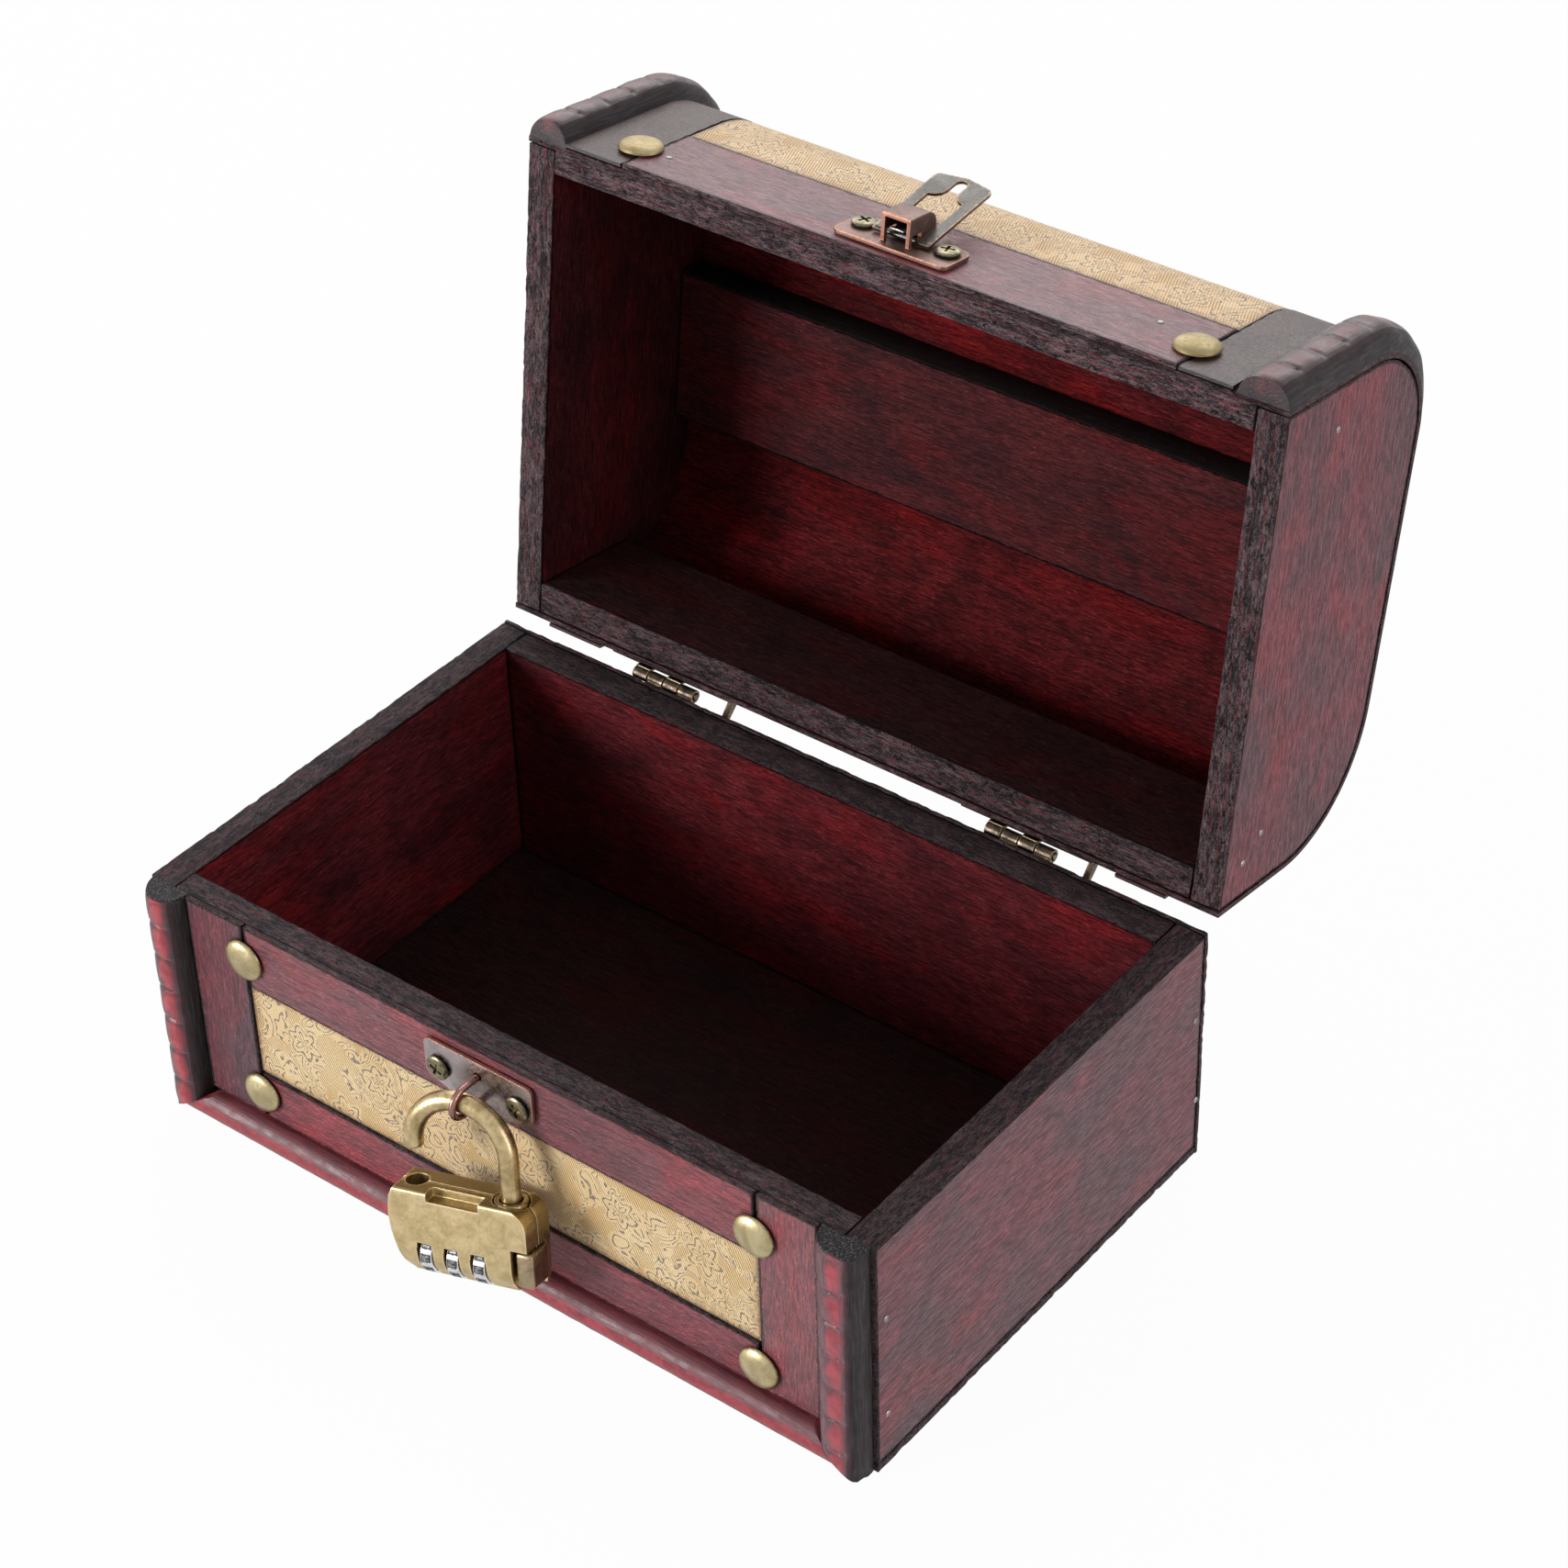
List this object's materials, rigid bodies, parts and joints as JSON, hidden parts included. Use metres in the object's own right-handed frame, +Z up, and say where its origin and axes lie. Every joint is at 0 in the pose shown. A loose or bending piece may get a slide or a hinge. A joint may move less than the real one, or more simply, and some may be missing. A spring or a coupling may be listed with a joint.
{
  "type": "domed wooden jewelry box",
  "caption": "Small wooden keepsake box with a domed hinged lid, cloth panels, notched corner mouldings, a swinging hasp and a combination padlock hung on its staple.",
  "frame": {"origin": "middle of the underside that the box stands on, centred between its ends and between the front strips' face and the side boards' back ends", "axes": "+X to the right seen from the front, +Y to the back, +Z up"},
  "size_m": [0.16, 0.1781, 0.155],
  "materials": {
    "stained_ply": "cherry red stain with dark burnished edges, satin",
    "dark_strip": "plum brown stain, satin",
    "moulding": "dark burnished stain with red worn patches, gloss",
    "brocade": "gold woven brocade",
    "dark_leather": "thin dark brown leather-like strip",
    "antique_brass": "antique brass, polished high spots",
    "screw_brass": "dark antique brass",
    "hinge_brass": "aged yellow brass",
    "lock_brass": "scuffed antique brass",
    "antique_copper": "antique copper plate over thin sheet, worn edges",
    "strap_steel": "dark bronze plate",
    "spring_steel": "plain spring steel",
    "dial_metal": "bright plated metal"
  },
  "bodies": {
    "base": {"base_left_side": "stained_ply", "base_right_side": "stained_ply", "base_front_panel": "stained_ply", "base_back_panel": "stained_ply", "base_floor": "stained_ply", "base_back_sheet": "stained_ply", "base_left_strip": "dark_strip", "base_right_strip": "dark_strip", "base_top_strip": "dark_strip", "base_low_strip": "dark_strip", "base_brocade": "brocade", "base_left_moulding": "moulding", "base_right_moulding": "moulding", "base_low_moulding": "moulding", "base_dome_nails_1": "antique_brass", "base_dome_nails_2": "antique_brass", "base_dome_nails_3": "antique_brass", "base_dome_nails_4": "antique_brass", "base_hasp_plate": "antique_copper", "base_hasp_screws_1": "screw_brass", "base_hasp_screws_2": "screw_brass", "hasp_staple": "antique_copper", "left_hinge_base_leaf": "hinge_brass", "left_hinge_pin": "hinge_brass", "right_hinge_base_leaf": "hinge_brass", "right_hinge_pin": "hinge_brass"},
    "lid": {"lid_left_side": "stained_ply", "lid_right_side": "stained_ply", "lid_front_rail": "stained_ply", "lid_back_rail": "stained_ply", "lid_roof_sheet": "stained_ply", "lid_inner_slat": "stained_ply", "lid_front_strip": "dark_strip", "lid_brocade": "brocade", "lid_left_leather": "dark_leather", "lid_right_leather": "dark_leather", "lid_left_moulding": "moulding", "lid_right_moulding": "moulding", "lid_dome_nails_1": "antique_brass", "lid_dome_nails_2": "antique_brass", "lid_hasp_plate": "antique_copper", "lid_hasp_screws_1": "screw_brass", "lid_hasp_screws_2": "screw_brass", "hasp_spring": "spring_steel", "left_hinge_lid_leaf": "hinge_brass", "right_hinge_lid_leaf": "hinge_brass"},
    "strap": {"hasp_strap": "strap_steel"},
    "shackle": {"padlock_shackle": "lock_brass"},
    "lock_body": {"lock_front_shell": "lock_brass", "lock_back_shell": "lock_brass", "shackle_collar": "lock_brass", "dial_axle": "spring_steel"},
    "dial_1": {"number_dial_1": "dial_metal"},
    "dial_2": {"number_dial_2": "dial_metal"},
    "dial_3": {"number_dial_3": "dial_metal"},
    "lever": {"release_lever": "lock_brass"}
  },
  "joints": [
    {"name": "lid_hinge", "type": "hinge", "parent": "base", "child": "lid", "pos_m": [0, 0.0512, 0.0509], "axis": [1, 0, 0], "range_deg": [0, 98]},
    {"name": "strap_hinge", "type": "hinge", "parent": "lid", "child": "strap", "pos_m": [-0.0016, 0.07215, 0.15035], "axis": [1, 0, 0], "range_deg": [0, 166]},
    {"name": "padlock_swing", "type": "hinge", "parent": "base", "child": "shackle", "pos_m": [-0.0016, -0.0532, 0.0433], "axis": [-1, 0, 0], "range_deg": [0, 70]},
    {"name": "padlock_close", "type": "slide", "parent": "shackle", "child": "lock_body", "axis": [-0.1606, 0.1866, 0.9692], "range_m": [0, 0.009]},
    {"name": "dial_1_turn", "type": "hinge", "parent": "lock_body", "child": "dial_1", "pos_m": [-0.00384, -0.06032, 0.01383], "axis": [0.9676, 0.2234, 0.1173], "continuous": true},
    {"name": "dial_2_turn", "type": "hinge", "parent": "lock_body", "child": "dial_2", "pos_m": [0.0012, -0.05916, 0.01444], "axis": [0.9676, 0.2234, 0.1173], "continuous": true},
    {"name": "dial_3_turn", "type": "hinge", "parent": "lock_body", "child": "dial_3", "pos_m": [0.00623, -0.058, 0.01505], "axis": [0.9676, 0.2234, 0.1173], "continuous": true},
    {"name": "lever_slide", "type": "slide", "parent": "lock_body", "child": "lever", "axis": [0.1606, -0.1866, -0.9692], "range_m": [0, 0.0015], "stiffness_N_per_m": 100}
  ]
}
